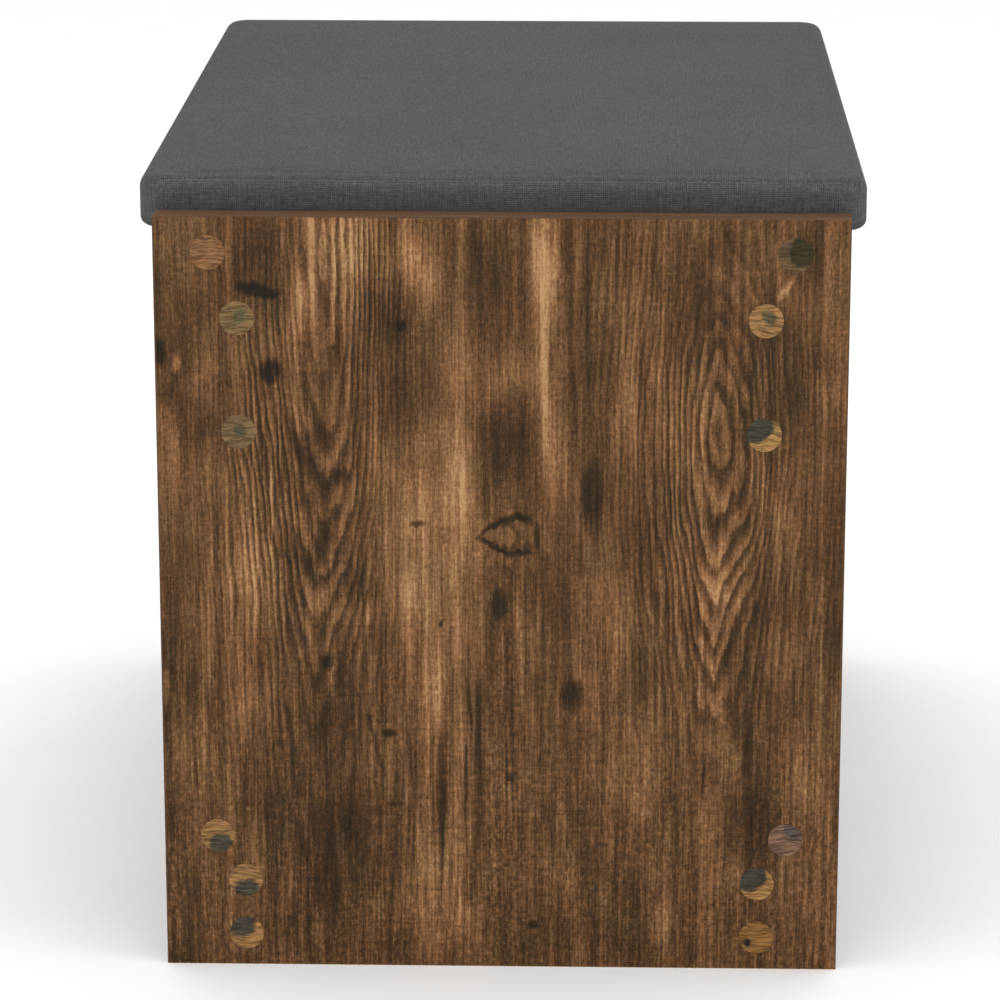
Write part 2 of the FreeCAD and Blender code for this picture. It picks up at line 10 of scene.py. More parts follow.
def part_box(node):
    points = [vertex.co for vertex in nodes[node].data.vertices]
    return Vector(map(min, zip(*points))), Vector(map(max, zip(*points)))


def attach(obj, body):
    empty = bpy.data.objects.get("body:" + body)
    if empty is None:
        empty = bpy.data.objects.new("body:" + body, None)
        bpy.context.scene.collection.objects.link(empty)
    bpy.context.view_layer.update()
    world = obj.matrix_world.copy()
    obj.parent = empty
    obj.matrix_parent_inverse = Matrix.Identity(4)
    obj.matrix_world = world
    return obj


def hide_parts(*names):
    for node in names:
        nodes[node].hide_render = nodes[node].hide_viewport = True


# Looks of the storage bench: smoked-oak print on the boards, woven cover on the seat, printed
# stickers over the screws, zinc-plated hinges and stays. Lengths are in metres. Prints are drawn in
# millimetres, across and along the grain.

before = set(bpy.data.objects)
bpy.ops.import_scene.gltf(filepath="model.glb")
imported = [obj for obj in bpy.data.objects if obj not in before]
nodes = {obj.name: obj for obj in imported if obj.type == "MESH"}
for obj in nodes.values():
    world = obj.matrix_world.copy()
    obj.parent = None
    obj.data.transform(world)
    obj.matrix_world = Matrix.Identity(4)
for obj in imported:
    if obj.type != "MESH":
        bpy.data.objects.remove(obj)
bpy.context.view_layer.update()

MM = 0.001
ENDS = ("left", "right")
PANEL_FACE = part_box("left_side_panel")[0].x
PANEL_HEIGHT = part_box("left_panel_edging")[1].z / MM


# ---- colours and node graphs -------------------------------------------------------------
def shade(red, green, blue):
    """A screen colour from 0 to 255 as linear light."""
    linear = []
    for level in (red / 255, green / 255, blue / 255):
        linear.append(level / 12.92 if level <= 0.04045 else ((level + 0.055) / 1.055) ** 2.4)
    return (*linear, 1.0)


def grey(level):
    return (level, level, level, 1.0)


class Graph:
    """A material's nodes. Most methods add a node or a few and return an output socket."""

    def __init__(self, name):
        self.material = bpy.data.materials.new(name)
        self.material.use_nodes = True
        self.tree = self.material.node_tree
        self.tree.nodes.clear()
        coordinates = self.tree.nodes.new("ShaderNodeTexCoord")
        self.surface_direction = coordinates.outputs["Normal"]
        self.place = self.vector("SCALE", coordinates.outputs["Object"], scale=1 / MM)

    def add(self, kind, inputs, output=0, **settings):
        node = self.tree.nodes.new(kind)
        for key, value in settings.items():
            setattr(node, key, value)
        for key, value in inputs.items():
            if isinstance(value, bpy.types.NodeSocket):
                self.tree.links.new(value, node.inputs[key])
            else:
                node.inputs[key].default_value = value
        return node.outputs[output]

    def attribute(self, name):
        return self.add("ShaderNodeAttribute", {}, 1, attribute_name=name)

    def math(self, operation, *values, clamp=False):
        return self.add("ShaderNodeMath", dict(enumerate(values)), operation=operation, use_clamp=clamp)

    def vector(self, operation, *values, output=0, scale=None):
        inputs = dict(enumerate(values))
        if scale is not None:
            inputs["Scale"] = scale
        return self.add("ShaderNodeVectorMath", inputs, output, operation=operation)

    def split(self, vector):
        self.add("ShaderNodeSeparateXYZ", {"Vector": vector})
        return list(self.tree.nodes[-1].outputs)

    def join(self, x, y, z=0.0):
        return self.add("ShaderNodeCombineXYZ", {"X": x, "Y": y, "Z": z})

    def stretched(self, u, v, per_u, per_v, w=0.0):
        """The point (u, v) where noise has so many lumps per millimetre each way. w picks the noise."""
        return self.join(self.math("MULTIPLY", u, per_u), self.math("MULTIPLY", v, per_v), w)

    def noise(self, vector, detail=2.0, roughness=0.5, colour=False):
        inputs = {"Vector": vector, "Scale": 1.0, "Detail": detail, "Roughness": roughness}
        return self.add("ShaderNodeTexNoise", inputs, 1 if colour else 0)

    def cells(self, vector, scale, output=0):
        """Cells: output 0 is the distance to a cell's middle, 1 is the cell's own random colour."""
        return self.add("ShaderNodeTexVoronoi", {"Vector": vector, "Scale": scale}, output)

    def spread(self, value, low, high, to_low=0.0, to_high=1.0):
        """value from low..high to to_low..to_high, with soft ends."""
        inputs = {"Value": value, "From Min": low, "From Max": high}
        inputs.update({"To Min": to_low, "To Max": to_high})
        return self.add("ShaderNodeMapRange", inputs, interpolation_type="SMOOTHSTEP")

    def mix(self, factor, a, b, blend="MIX"):
        """Colour a, or b where factor is 1, or the two blended in another way."""
        return self.add("ShaderNodeMix", {0: factor, 6: a, 7: b}, 2, data_type="RGBA", blend_type=blend)

    def choose(self, factor, a, b):
        """Number a, or b where factor is 1."""
        return self.add("ShaderNodeMix", {0: factor, 2: a, 3: b})

    def layered(self, tone, layers):
        """tone with layers added to it, each (noise value, its middle, its strength)."""
        for value, middle, strength in layers:
            tone = self.math("MULTIPLY_ADD", self.math("SUBTRACT", value, middle), strength, tone)
        return tone

    def ramp(self, value, stops):
        """The colour at value, between stops of (position, colour)."""
        socket = self.add("ShaderNodeValToRGB", {"Fac": value})
        elements = socket.node.color_ramp.elements
        while len(elements) < len(stops):
            elements.new(0.5)
        for element, (position, colour) in zip(elements, stops):
            element.position = position
            element.color = colour
        return socket

    def spot(self, point, centre, size, turn=0.0, crisp=False):
        """1 at centre, falling away smoothly over size (across, along), turned by some degrees.

        A crisp spot keeps its strength almost to size and falls away quickly there.
        """
        if turn:
            cos, sin = math.cos(math.radians(turn)), math.sin(math.radians(turn))
            offset = self.vector("SUBTRACT", point, (*centre, 0))
            across = self.vector("DOT_PRODUCT", offset, (cos / size[0], sin / size[0], 0), output=1)
            along = self.vector("DOT_PRODUCT", offset, (-sin / size[1], cos / size[1], 0), output=1)
            square = self.math("MULTIPLY_ADD", across, across, self.math("MULTIPLY", along, along))
        else:
            scale = (1 / size[0], 1 / size[1], 0)
            shift = (-centre[0] / size[0], -centre[1] / size[1], 0)
            local = self.vector("MULTIPLY_ADD", point, scale, shift)
            square = self.vector("DOT_PRODUCT", local, local, output=1)
        if crisp:
            square = self.math("MULTIPLY", square, square)
        return self.math("POWER", math.exp(-1), square)

    def spots(self, point, features, crisp=False):
        """The sum of strength times spot, over (centre, size, turn, strength)."""
        total = 0.0
        for centre, size, turn, strength in features:
            spot = self.spot(point, centre, size, turn, crisp)
            total = self.math("MULTIPLY_ADD", spot, strength, total)
        return total

    def finish(self, height=None, bump=0.2, depth=MM, **inputs):
        """Ends the material in a Principled shader. height drives a bump of depth metres."""
        if height is not None:
            bump_inputs = {"Height": height, "Strength": bump, "Distance": depth}
            inputs["Normal"] = self.add("ShaderNodeBump", bump_inputs)
        named = {key.replace("_", " "): value for key, value in inputs.items()}
        shader = self.add("ShaderNodeBsdfPrincipled", named)
        self.add_output(shader)
        return self.material

    def add_output(self, shader):
        output = self.tree.nodes.new("ShaderNodeOutputMaterial")
        self.tree.links.new(shader, output.inputs["Surface"])


# ---- smoked-oak print --------------------------------------------------------------------
OAK = [
    (0.08, shade(33, 26, 14)),
    (0.20, shade(47, 33, 17)),
    (0.30, shade(59, 41, 22)),
    (0.38, shade(71, 49, 27)),
    (0.50, shade(95, 66, 39)),
    (0.62, shade(123, 88, 56)),
    (0.70, shade(142, 102, 67)),
    (0.78, shade(164, 122, 82)),
    (0.92, shade(192, 152, 108)),
]
CHIPS = (shade(118, 92, 60), shade(176, 146, 104))
FIGURE_SPACING = 221        # from one cathedral figure to the next, across the board
FIGURE_PLACE = -100         # middle of one of them
RING_SWING = 9.0            # growth rings that the pattern climbs and drops by, across the board
RING_WANDER = 5.0           # and those that it strays by at random
RING_CONTRAST = 0.36
RING_STOPS = [              # one growth ring: pale early wood, then a dark line
    (0.0, grey(0.3)),
    (0.1, grey(0.9)),
    (0.3, grey(1.0)),
    (0.6, grey(0.45)),
    (0.82, grey(0.0)),
    (0.95, grey(0.1)),
]
LOOSE_SHIFT = (16, 44, 0)   # how far noise moves rings and soft areas, across and along
CLOSE_SHIFT = (6, 10, 0)    # and how far it moves knots and cracks
MIDDLE_TONE = 0.511         # the print's tone on OAK's scale where nothing changes it
FOOT_SPECKLE = 0.6          # how much more speckled the print is at the foot of a panel
RAW_HEIGHT = 0.3            # the panels' feet show raw chipboard up to here


def oak_print(name, across, along, seed, hills=(), figure=(), tones=(), marks=(), flip=False):
    """A printed oak board. across and along say which axis of the bench, 0 to 2, runs which way.

    hills bend the growth rings into ovals and arches, and figure says where the rings show most.
    tones are soft lighter or darker areas, and marks are knots and cracks. Each is a list of
    (centre, size, turn, strength) in millimetres, centres from the board's middle and its foot.
    """
    g = Graph(name)
    axes = g.split(g.place)
    third = 3 - across - along
    u = g.math("MULTIPLY", axes[across], 1.0 if flip else -1.0)
    v = g.math("SUBTRACT", PANEL_HEIGHT, axes[along]) if flip else axes[along]
    w = g.math("MULTIPLY_ADD", axes[third], 0.01, seed)
    point = g.join(u, v)

    def grain(per_u, per_v, detail, roughness=0.6, colour=False):
        """Noise with so many lumps per millimetre across and along the board."""
        return g.noise(g.stretched(u, v, per_u, per_v, w), detail, roughness, colour)

    # A wavy shift, so that nothing runs quite straight.
    ripple = grain(0.1, 0.02, 4.0, colour=True)
    shift = g.vector("SUBTRACT", ripple, (0.5, 0.5, 0.5))
    loose = g.vector("ADD", point, g.vector("MULTIPLY", shift, LOOSE_SHIFT))
    close = g.vector("ADD", point, g.vector("MULTIPLY", shift, CLOSE_SHIFT))

    # Growth rings: their number goes up and down across the board, and hills make the figures.
    turn = 2 * math.pi / FIGURE_SPACING
    swing = g.math("COSINE", g.math("MULTIPLY_ADD", u, turn, -FIGURE_PLACE * turn))
    wander = grain(0.03, 0.006, 3.0)
    rings = g.math("MULTIPLY_ADD", wander, RING_WANDER, g.math("MULTIPLY", swing, RING_SWING))
    rings = g.math("MULTIPLY_ADD", g.split(ripple)[0], 1.0, rings)
    rings = g.math("ADD", rings, g.spots(point, hills)) if hills else rings
    ring = g.ramp(g.math("FRACT", rings), RING_STOPS)
    shown = g.spread(grain(0.02, 0.006, 2.0), 0.42, 0.62, 0.05, 0.3)
    shown = g.math("ADD", shown, g.spots(loose, figure)) if figure else shown
    worn = g.spread(grain(0.12, 0.05, 3.0), 0.3, 0.6, 0.45, 1.0)
    shown = g.math("MULTIPLY", g.math("MINIMUM", shown, 1.0), worn)

    # Noise along, between and across the fibres. The print is more speckled toward its foot.
    tone = g.math("MULTIPLY", g.math("SUBTRACT", ring, 0.5), g.math("MULTIPLY", shown, RING_CONTRAST))
    fibres = grain(0.8, 0.03, 4.0, 0.7)
    specks = grain(0.55, 0.4, 4.0, 0.75)
    streaks = grain(0.2, 0.008, 4.0)
    short_fibres = grain(0.9, 0.22, 3.0, 0.7)
    saw_marks = grain(0.05, 0.9, 2.0)
    stains = grain(0.03, 0.014, 5.0)
    tone = g.layered(tone, (
        (streaks, 0.5, 0.66),
        (fibres, 0.5, 0.5),
        (short_fibres, 0.5, 0.4),
        (specks, 0.5, 0.55),
        (saw_marks, 0.5, 0.14),
        (stains, 0.5, 0.62),
    ))
    speckled = g.spread(v, 40, 280, FOOT_SPECKLE, 0.0)
    tone = g.layered(tone, [(grain(0.3, 0.2, 4.0, 0.8), 0.5, speckled)])
    tone = g.math("ADD", tone, MIDDLE_TONE)
    tone = g.math("ADD", tone, g.spots(loose, tones)) if tones else tone
    tone = g.math("ADD", tone, g.spots(close, marks, crisp=True)) if marks else tone

    colour = g.ramp(tone, OAK)
    warmth = g.spread(grain(0.03, 0.02, 2.0), 0.35, 0.65)
    colour = g.mix(0.35, colour, g.mix(warmth, shade(118, 128, 118), shade(140, 126, 122)), "OVERLAY")
    foot = g.math("LESS_THAN", axes[2], RAW_HEIGHT)
    chips = g.noise(g.vector("SCALE", g.place, scale=0.5), 2.0)
    colour = g.mix(foot, colour, g.ramp(chips, [(0.35, CHIPS[0]), (0.65, CHIPS[1])]))
    roughness = g.spread(fibres, 0.3, 0.7, 0.55, 0.42)
    height = g.math("MULTIPLY_ADD", fibres, 0.7, g.math("MULTIPLY", specks, 0.3))
    return g.finish(height, 0.2, 0.1 * MM, Base_Color=colour, Roughness=roughness,
                    Specular_IOR_Level=0.12)


# Print on the left-hand side panel, as (centre, size, turn, strength). A centre is toward the
# front from the panel's middle, and up from the floor.
PANEL_HILLS = [
    ((121, 300), (26, 95), 0, 3.6),
    ((121, 320), (90, 130), 0, 3.6),
    ((-97, 430), (28, 200), 0, 5.0),
    ((-100, 410), (90, 230), 0, 5.0),
    ((6, 254), (17, 11), 0, 1.4),
]
PANEL_FIGURE = [
    ((122, 300), (36, 80), 0, 0.9),
    ((122, 200), (30, 55), 0, 0.75),
    ((-130, 300), (18, 90), 0, 0.8),
    ((-88, 412), (24, 40), 0, 1.0),
    ((-82, 340), (20, 70), 0, 0.7),
    ((-100, 225), (40, 60), 0, 0.6),
    ((-120, 160), (25, 50), 0, 0.4),
    ((75, 300), (30, 150), 0, 0.25),
    ((6, 254), (20, 14), 0, 0.4),
]
PANEL_TONES = [
    # light streaks near the middle
    ((24, 400), (6.5, 60), 0, 0.30),
    ((25, 310), (6, 60), 0, 0.18),
    ((-23, 305), (8, 55), 0, 0.24),
    ((-40, 270), (20, 55), 0, 0.18),
    ((-22, 225), (7, 40), 0, 0.12),
    ((-50, 222), (8, 18), 0, 0.14),
    ((-38, 165), (6, 35), 0, 0.18),
    ((-23, 140), (5, 55), 0, 0.15),
    ((-41, 80), (7, 45), 0, 0.14),
    ((-25, 75), (4, 35), 0, 0.12),
    ((6, 346), (18, 11), 0, 0.12),
    ((14, 170), (10, 35), 0, 0.06),
    ((-20, 30), (7, 12), 0, 0.10),
    ((-46, 35), (12, 18), 0, 0.07),
    # light areas toward the rear
    ((-88, 415), (19, 34), 0, 0.17),
    ((-106, 398), (6, 28), -14, 0.14),
    ((-46, 408), (12, 22), 0, 0.20),
    ((-170, 341), (5, 24), -63, 0.10),
    ((-112, 325), (6, 30), 0, 0.10),
    ((-162, 290), (22, 16), 0, 0.08),
    ((-178, 270), (12, 20), 0, 0.06),
    ((-138, 225), (9, 25), 0, 0.12),
    ((-165, 205), (15, 35), 0, 0.06),
    ((-148, 165), (10, 40), 0, 0.05),
    ((-60, 145), (9, 40), 0, 0.08),
    ((-75, 210), (14, 8), 0, 0.08),
    # light areas toward the front
    ((68, 330), (10, 30), 0, 0.07),
    ((68, 215), (12, 30), 0, 0.06),
    ((84, 130), (14, 35), 0, 0.09),
    ((40, 117), (8, 13), 0, 0.10),
    ((36, 86), (5, 8), 0, 0.14),
    ((128, 120), (6, 22), 0, 0.10),
    ((123, 55), (9, 14), 0, 0.09),
    ((92, 30), (7, 14), 0, 0.10),
    ((165, 115), (12, 45), 0, 0.08),
    ((160, 260), (16, 16), 0, 0.06),
    ((178, 336), (10, 9), 0, 0.10),
    ((118, 225), (14, 10), 0, 0.08),
    # dark areas
    ((-134, 422), (13, 18), 0, -0.14),
    ((-165, 400), (22, 30), 0, -0.05),
    ((-184, 338), (9, 9), 0, -0.16),
    ((-168, 312), (12, 9), 0, -0.10),
    ((-60, 378), (12, 20), 0, -0.16),
    ((-62, 330), (10, 22), 0, -0.12),
    ((-88, 362), (9, 15), 0, -0.08),
    ((-105, 285), (14, 16), 0, -0.10),
    ((-110, 244), (14, 9), 0, -0.14),
    ((-80, 230), (7, 13), 0, -0.14),
    ((-97, 150), (14, 28), 0, -0.13),
    ((-88, 85), (26, 60), 0, -0.17),
    ((-118, 70), (20, 40), 0, -0.09),
    ((-80, 14), (26, 14), 0, -0.10),
    ((-4, 308), (12, 28), 0, -0.15),
    ((12, 305), (9, 25), 0, -0.10),
    ((-8, 400), (12, 28), 0, -0.08),
    ((42, 390), (10, 45), 0, -0.10),
    ((46, 215), (9, 40), 0, -0.09),
    ((24, 230), (16, 22), 0, -0.08),
    ((140, 375), (38, 50), 0, -0.09),
    ((120, 300), (7, 25), 0, -0.08),
    ((150, 208), (12, 22), 0, -0.14),
    ((141, 100), (10, 60), 0, -0.2),
    ((58, 15), (22, 18), 0, -0.10),
    ((23, 85), (5, 13), 0, -0.12),
    ((178, 50), (10, 25), 0, -0.10),
    ((165, 412), (9, 16), 0, -0.15),
    ((-187, 150), (4, 50), 0, -0.15),
    ((-176, 30), (20, 45), 0, -0.10),
    ((186, 200), (5, 60), 0, -0.07),
]
PANEL_MARKS = [
    # knots
    ((-133, 393), (11, 4), -10, -0.5),
    ((-127, 348), (5.5, 6.5), 0, -0.48),
    ((-188, 358), (4, 8), 0, -0.4),
    ((-55, 374), (3, 3), 0, -0.3),
    ((-46, 261), (4, 2), 0, -0.35),
    ((-88, 289), (5, 5), 0, -0.25),
    ((-97, 181), (4, 4), 0, -0.3),
    ((-63, 139), (4, 2.5), 0, -0.35),
    ((-1, 214), (4, 10), 0, -0.35),
    ((51, 277), (6, 20), 0, -0.3),
    ((40, 162), (7, 9), 0, -0.3),
    ((5, 114), (2.5, 2.5), 0, -0.25),
    ((18, 25), (3, 2.5), 0, -0.35),
    ((-34, 204), (1.6, 1.6), 0, -0.3),
    # the ringed knot's dark outline, as five strokes
    ((8, 264), (9, 2), 0, -0.34),
    ((8, 245), (9, 1.8), 0, -0.32),
    ((-6, 259), (8, 1.6), 34, -0.32),
    ((-6, 249), (8, 1.6), -34, -0.32),
    ((20, 255), (2, 7), 0, -0.32),
    # cracks and thin dark streaks
    ((-112, 305), (2.5, 16), 16, -0.28),
    ((-33, 105), (2.5, 40), 0, -0.2),
    ((-20, 110), (1.0, 24), 0, -0.28),
    ((-17, 155), (1.2, 14), 4, -0.22),
    ((-12, 130), (2.0, 45), 0, -0.14),
    ((3, 150), (0.9, 70), 0, -0.14),
    ((6, 130), (0.9, 60), 0, -0.12),
    ((-52, 130), (1.4, 20), 4, -0.2),
    ((-70, 130), (1.4, 22), 14, -0.18),
    ((-59, 97), (7, 1.5), 0, -0.18),
    ((113, 115), (0.9, 14), 0, -0.25),
    ((147, 330), (0.9, 40), 0, -0.12),
    # pale flecks
    ((155, 395), (2.5, 7), -35, 0.22),
    ((-178, 352), (3, 5), 0, 0.25),
    ((-188, 165), (2, 12), 0, 0.3),
    ((-97, 297), (3, 5), 10, 0.15),
]


# ---- other materials ---------------------------------------------------------------------
def edge_strip(name, along):
    """Plain brown plastic strip with faint streaks along it."""
    g = Graph(name)
    axes = g.split(g.place)
    per_mm = [0.006 if axis == along else 0.5 for axis in range(3)]
    streaks = g.noise(g.join(*[g.math("MULTIPLY", axes[i], per_mm[i]) for i in range(3)]), 3.0, 0.6)
    grit = g.noise(g.vector("SCALE", g.place, scale=2.5), 2.0)
    browns = [(0.3, shade(71, 48, 29)), (0.5, shade(86, 60, 38)), (0.72, shade(100, 72, 47))]
    colour = g.ramp(streaks, browns)
    return g.finish(grit, 0.15, 0.1 * MM, Base_Color=colour, Roughness=0.5, Specular_IOR_Level=0.2)


STAIN_FRAY = 4.0            # how far the grain frays a stain's edge, in millimetres
STICKER_DRIFT = (7, 5, 0)   # how far noise bends the stickers' grain


def sticker_print(name):
    """Round stickers printed with grain running across and a dark stain, each one different.

    The mesh says what each has: where a point lies on its sticker in millimetres, the two
    colours, and the stain's centre and radius.
    """
    g = Graph(name)
    local = g.attribute("sticker_point")
    stain_place = g.attribute("sticker_stain_place")
    paper = g.attribute("sticker_paper")
    ink = g.attribute("sticker_ink")
    u, v, seed = g.split(local)
    wave = g.noise(g.stretched(u, v, 0.1, 0.12, seed), 2.0, colour=True)
    drift = g.vector("MULTIPLY", g.vector("SUBTRACT", wave, (0.5, 0.5, 0.5)), STICKER_DRIFT)
    moved_u, moved_v, _ = g.split(g.vector("ADD", g.join(u, v), drift))
    grain = g.noise(g.stretched(moved_u, moved_v, 0.08, 0.75, seed), 3.0)
    fine = g.noise(g.stretched(u, v, 0.35, 2.0, seed), 3.0, 0.7)
    tone = g.layered(0.5, [(grain, 0.5, 2.4), (fine, 0.5, 0.9)])
    streaked = g.mix(g.spread(tone, 0.0, 1.0), grey(0.35), grey(1.25))
    colour = g.mix(1.0, paper, streaked, "MULTIPLY")
    stain_u, stain_v, radius = g.split(stain_place)
    away = g.math("SUBTRACT", moved_u, stain_u)
    up = g.math("SUBTRACT", moved_v, stain_v)
    distance = g.math("SQRT", g.math("MULTIPLY_ADD", away, away, g.math("MULTIPLY", up, up)))
    edge = g.math("SUBTRACT", radius, g.math("MULTIPLY_ADD", fine, STAIN_FRAY, distance))
    stained = g.spread(edge, -3.4, -0.8)
    colour = g.mix(stained, colour, g.mix(1.0, ink, streaked, "MULTIPLY"))
    return g.finish(grain, 0.1, 0.1 * MM, Base_Color=colour, Roughness=0.5, Specular_IOR_Level=0.15)


THREAD = 1.05               # the seat cover's weave, millimetres from thread to thread
THREAD_BEND = 0.9           # how far a thread strays sideways, in millimetres


def woven_cover(name):
    """Plain weave in mid grey, with thicker threads here and there in both directions.

    The studio lights the upright faces less than the photograph's did, so they are a little paler.
    """
    g = Graph(name)
    x, y, z = g.split(g.place)
    facing = g.split(g.vector("ABSOLUTE", g.surface_direction))
    end_face = g.math("GREATER_THAN", facing[0], 0.7)
    long_face = g.math("GREATER_THAN", facing[1], 0.7)
    along = g.choose(end_face, x, z)
    across = g.choose(long_face, y, z)
    threads = []
    slubs = []
    for run, side, offset in ((along, across, 0.0), (across, along, 40.0)):
        bend = g.noise(g.stretched(run, side, 0.04, 0.3, offset), 2.0)
        bent = g.math("MULTIPLY_ADD", bend, THREAD_BEND, side)
        turns = g.math("MULTIPLY", bent, 2 * math.pi / THREAD)
        threads.append(g.math("MULTIPLY_ADD", g.math("SINE", turns), 0.5, 0.5))
        slubs.append(g.noise(g.stretched(run, side, 0.09, 0.7, offset), 4.0, 0.75))
    weave = g.math("MULTIPLY", threads[0], threads[1])
    fleck = g.noise(g.vector("SCALE", g.place, scale=0.7), 3.0, 0.7)
    shadow = g.noise(g.vector("SCALE", g.place, scale=0.012), 2.0)
    tone = g.layered(0.45, (
        (slubs[0], 0.5, 0.65),
        (slubs[1], 0.5, 0.65),
        (fleck, 0.5, 0.6),
        (weave, 0.25, 0.35),
        (shadow, 0.5, 0.15),
    ))
    upright = g.math("MAXIMUM", end_face, long_face)
    tone = g.math("MULTIPLY_ADD", upright, 0.1, tone)
    greys = [(0.1, shade(41, 41, 41)), (0.5, shade(69, 69, 69)), (0.9, shade(101, 101, 101))]
    colour = g.ramp(tone, greys)
    surface = g.math("MULTIPLY_ADD", fleck, 0.5, weave)
    return g.finish(surface, 0.35, 0.4 * MM, Base_Color=colour, Roughness=0.92,
                    Sheen_Weight=0.03, Sheen_Roughness=0.5, Specular_IOR_Level=0.1)


def sewing_thread(name):
    """Twisted grey thread, a little paler than the cover."""
    g = Graph(name)
    twist = g.noise(g.vector("SCALE", g.place, scale=4.0), 2.0)
    colour = g.ramp(twist, [(0.3, shade(74, 74, 75)), (0.7, shade(104, 104, 104))])
    return g.finish(twist, 0.3, 0.1 * MM, Base_Color=colour, Roughness=0.7, Specular_IOR_Level=0.2)


def spun_cloth(name):
    """Black spun-bonded dust cover with a dimpled surface."""
    g = Graph(name)
    cells = g.cells(g.place, 0.6)
    fibres = g.noise(g.vector("SCALE", g.place, scale=0.9), 4.0, 0.7)
    cloud = g.noise(g.vector("SCALE", g.place, scale=0.03), 3.0)
    tone = g.math("MULTIPLY_ADD", g.math("SUBTRACT", cloud, 0.5), 0.4, fibres)
    tone = g.math("MULTIPLY_ADD", cells, 0.35, tone)
    blacks = [(0.35, shade(11, 11, 12)), (0.65, shade(26, 26, 28)), (0.95, shade(48, 48, 51))]
    colour = g.ramp(tone, blacks)
    return g.finish(cells, 0.6, 0.4 * MM, Base_Color=colour, Roughness=0.85, Sheen_Weight=0.06)


def zinc_plate(name):
    """Bright zinc plating with rolled lines and a cloudy bloom."""
    g = Graph(name)
    cloud = g.noise(g.vector("SCALE", g.place, scale=0.12), 4.0, 0.6)
    lines = g.noise(g.vector("MULTIPLY", g.place, (0.4, 0.4, 6.0)), 2.0)
    greys = [(0.3, shade(160, 160, 156)), (0.55, shade(190, 190, 186)), (0.75, shade(205, 203, 192))]
    colour = g.ramp(cloud, greys)
    roughness = g.spread(cloud, 0.3, 0.7, 0.28, 0.42)
    return g.finish(lines, 0.08, 0.1 * MM, Base_Color=colour, Metallic=1.0, Roughness=roughness)


def rubber(name):
    """Black rubber with a fine grit."""
    g = Graph(name)
    grit = g.noise(g.vector("SCALE", g.place, scale=3.0), 3.0)
    colour = g.ramp(grit, [(0.3, shade(22, 22, 23)), (0.7, shade(40, 40, 41))])
    return g.finish(grit, 0.2, 0.1 * MM, Base_Color=colour, Roughness=0.7)


def particle_board(name):
    """Raw chipboard: pale flakes pressed together."""
    g = Graph(name)
    flakes = g.cells(g.vector("MULTIPLY", g.place, (0.35, 0.35, 1.2)), 1.0, output=1)
    tone = g.noise(flakes, 1.0)
    colour = g.ramp(tone, [(0.3, shade(150, 118, 78)), (0.6, shade(196, 164, 120))])
    return g.finish(tone, 0.3, 0.3 * MM, Base_Color=colour, Roughness=0.8)


def beech(name):
    """Pale beech with its grain along the bench."""
    g = Graph(name)
    grain = g.noise(g.vector("MULTIPLY", g.place, (0.1, 1.5, 1.5)), 3.0)
    colour = g.ramp(grain, [(0.3, shade(190, 150, 108)), (0.7, shade(214, 178, 136))])
    return g.finish(grain, 0.2, 0.2 * MM, Base_Color=colour, Roughness=0.6)


def open_foam(name):
    """Cream foam with open pores."""
    g = Graph(name)
    pores = g.cells(g.place, 1.2)
    colour = g.ramp(pores, [(0.1, shade(190, 180, 150)), (0.6, shade(232, 224, 200))])
    return g.finish(pores, 0.5, 0.5 * MM, Base_Color=colour, Roughness=0.95)


def paint(node, material):
    """Gives a CAD node a material."""
    node.data.materials.clear()
    node.data.materials.append(material)


def new_piece(name, mesh_builder, material, body):
    """A mesh object from a function that fills a bmesh, riding on a body."""
    mesh = bpy.data.meshes.new(name)
    work = bmesh.new()
    mesh_builder(work)
    work.to_mesh(mesh)
    work.free()
    piece = bpy.data.objects.new(name, mesh)
    bpy.context.scene.collection.objects.link(piece)
    mesh.materials.append(material)
    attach(piece, body)
    return piece


# ---- boards ------------------------------------------------------------------------------
def paint_boards():
    figures = dict(hills=PANEL_HILLS, figure=PANEL_FIGURE, tones=PANEL_TONES, marks=PANEL_MARKS)
    paint(nodes["left_side_panel"], oak_print("left_panel_print", 1, 2, 3.0, **figures))
    paint(nodes["right_side_panel"], oak_print("right_panel_print", 1, 2, 9.0, flip=True, **figures))
    flat = oak_print("flat_board_print", 1, 0, 21.0)
    upright = oak_print("upright_board_print", 2, 0, 33.0)
    for name in ("bottom_board", "front_stretcher", "rear_stretcher", "tray_floor"):
        paint(nodes[name], flat)
    for name in ("front_apron", "rear_apron", "front_plinth", "rear_plinth"):
        paint(nodes[name], upright)
    long_strip = edge_strip("long_edge_strip", 0)
    for name in ("bottom_board_edging", "stretcher_edging", "apron_edging"):
        paint(nodes[name], long_strip)
    panel_strip = edge_strip("panel_edge_strip", 1)
    for end in ENDS:
        paint(nodes[end + "_panel_edging"], panel_strip)


def paint_fittings():
    zinc = zinc_plate("zinc_plated_steel")
    names = ["hinge_stretcher_screws", "hinge_seat_screws", "cover_staples"]
    parts = ["carcass_screws", "hinge_fixed_leaf", "hinge_seat_leaf", "hinge_pin"]
    parts += ["stay_wall_plate", "stay_wall_screws", "stay_wall_rivet", "stay_lower_arm"]
    parts += ["stay_elbow_rivet", "stay_upper_arm"]
    parts += ["stay_seat_rivet", "stay_seat_bracket", "stay_seat_screws"]
    names += [end + "_" + part for end in ENDS for part in parts]
    for name in names:
        paint(nodes[name], zinc)
    for end in ENDS:
        paint(nodes[end + "_dowels"], beech("beech_" + end))
    paint(nodes["seat_bumpers"], rubber("bumper_rubber"))
    paint(nodes["seat_board"], particle_board("seat_board_chips"))
    paint(nodes["seat_foam"], open_foam("seat_foam_cells"))


